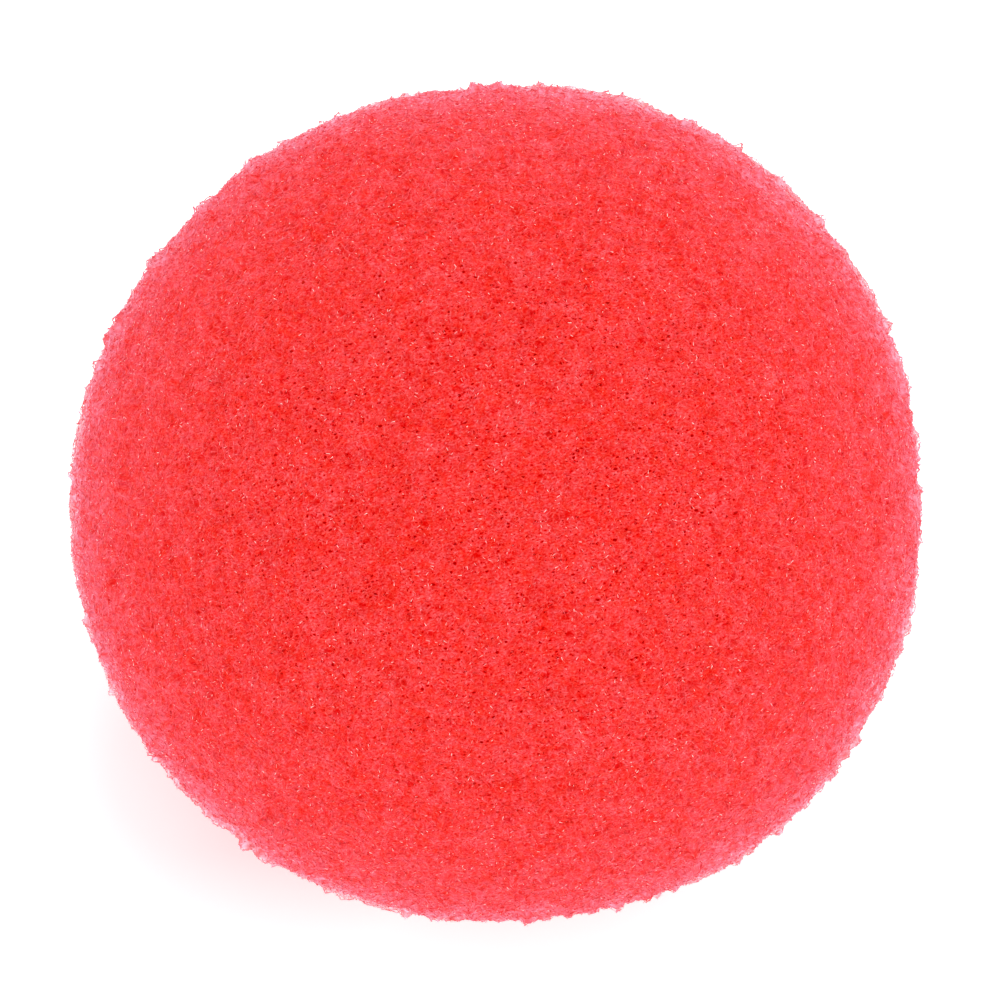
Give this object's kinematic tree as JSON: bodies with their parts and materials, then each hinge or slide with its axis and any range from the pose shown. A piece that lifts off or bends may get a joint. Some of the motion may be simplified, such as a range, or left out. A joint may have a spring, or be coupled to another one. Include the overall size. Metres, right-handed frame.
{
  "type": "foam clown nose",
  "caption": "Soft red foam ball worn on the nose as a clown's, trimmed flat at the back, with an oval pocket there that the wearer's nose goes into.",
  "frame": {"origin": "middle of the flat ring round the pocket's mouth, on the surface that the nose stands on", "axes": "+Z out of the front of the nose, away from the wearer's face; X across the wearer's face, along the pocket's long way; Y down the face"},
  "size_m": [0.0515, 0.0514, 0.0469],
  "materials": {
    "red_foam": "matte open-cell polyurethane foam"
  },
  "bodies": {
    "root": {"foam_ball": "red_foam"}
  },
  "joints": []
}
